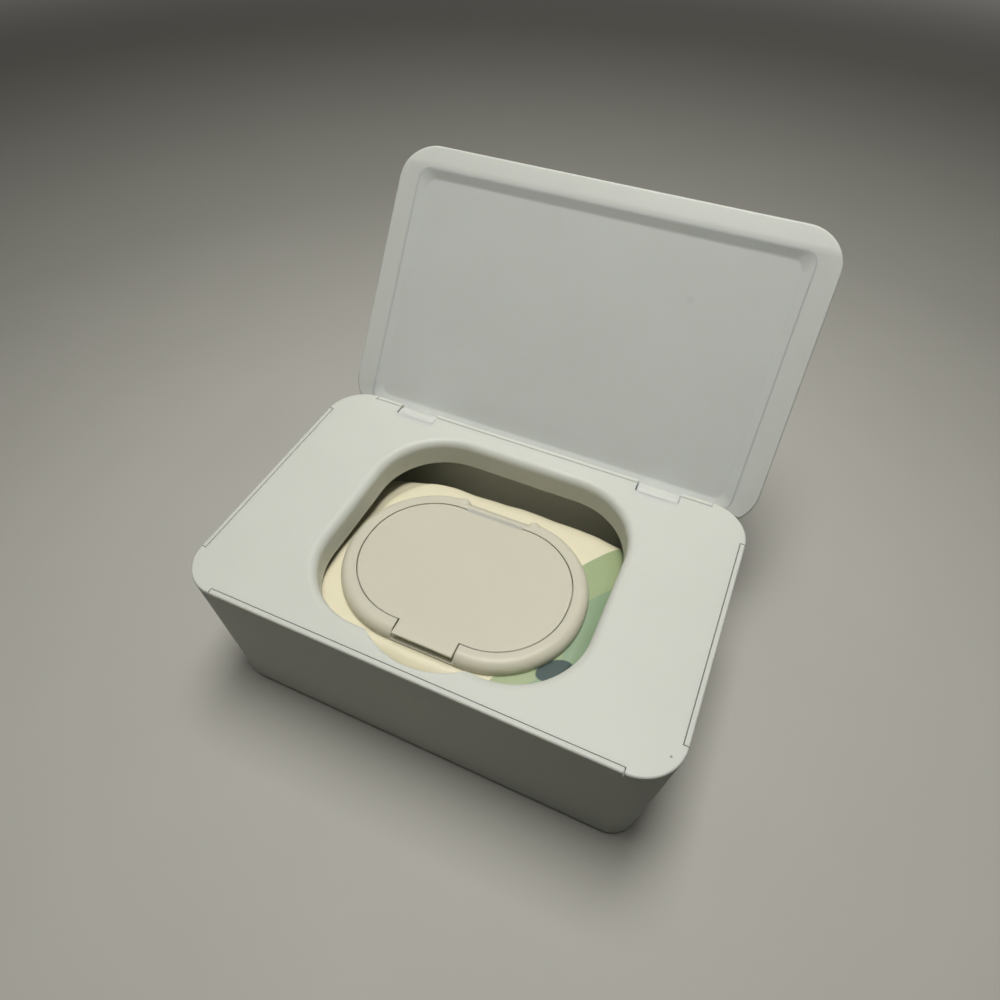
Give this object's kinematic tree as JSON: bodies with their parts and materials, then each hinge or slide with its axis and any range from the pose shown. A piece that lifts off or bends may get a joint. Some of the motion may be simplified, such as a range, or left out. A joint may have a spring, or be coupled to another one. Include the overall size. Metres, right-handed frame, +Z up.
{
  "type": "wipes dispenser",
  "caption": "Countertop wipes dispenser: leaning-walled tub, lift-out deck frame with a deep-collared opening, hinged lid, and a refill pack with its own flip-top.",
  "frame": {"origin": "on the table, in the middle of the tub's outline", "axes": "+Z up; +X to the right along the width, seen from the front; +Y to the back, where the lid is hinged"},
  "size_m": [0.19, 0.1978, 0.1589],
  "materials": {
    "white_shell": "fine satin moulding, warm white",
    "white_deck": "smooth satin moulding, warm white",
    "white_lid": "smooth satin moulding, warm white",
    "lid_liner": "fine matt moulding, slightly greyer white",
    "foot_pad": "soft matt silicone",
    "pin_steel": "drawn wire",
    "pack_film": "printed soft film with a low sheen",
    "wipe_cloth": "damp non-woven cloth",
    "glue": "clear-drying adhesive",
    "flip_plastic": "smooth satin moulding, ivory"
  },
  "bodies": {
    "tub": {"tub": "white_shell", "foot_front_left": "foot_pad", "foot_front_right": "foot_pad", "foot_back_left": "foot_pad", "foot_back_right": "foot_pad"},
    "top_frame": {"top_frame": "white_deck"},
    "lid": {"lid_shell": "white_lid", "lid_panel": "lid_liner"},
    "hinge_pin_left": {"hinge_pin_left": "pin_steel"},
    "hinge_pin_right": {"hinge_pin_right": "pin_steel"},
    "refill": {"pouch_film": "pack_film", "folded_wipes": "wipe_cloth", "leading_wipe": "wipe_cloth", "flip_glue": "glue", "flip_base": "flip_plastic"},
    "flip_cover": {"flip_cover": "flip_plastic"}
  },
  "joints": [
    {"name": "deck_lift", "type": "slide", "parent": "tub", "child": "top_frame", "axis": [0, 0, 1], "range_m": [0, 0.15]},
    {"name": "lid_hinge", "type": "hinge", "parent": "top_frame", "child": "lid", "pos_m": [0, 0.056, 0.067], "axis": [-1, 0, 0], "range_deg": [-126, 0]},
    {"name": "hinge_pin_left_spin", "type": "hinge", "parent": "top_frame", "child": "hinge_pin_left", "pos_m": [-0.0563, 0.056, 0.067], "axis": [1, 0, 0], "continuous": true},
    {"name": "hinge_pin_right_spin", "type": "hinge", "parent": "top_frame", "child": "hinge_pin_right", "pos_m": [0.0563, 0.056, 0.067], "axis": [1, 0, 0], "continuous": true},
    {"name": "refill_lift", "type": "slide", "parent": "tub", "child": "refill", "axis": [0, 0, 1], "range_m": [0, 0.075]},
    {"name": "flip_hinge", "type": "hinge", "parent": "refill", "child": "flip_cover", "pos_m": [-0.0015, 0.02145, 0.0646], "axis": [-1, 0, 0], "range_deg": [0, 105]}
  ],
  "couplings": [
    {"joint": "refill_lift", "follows": "deck_lift", "ratio": 0.5}
  ]
}
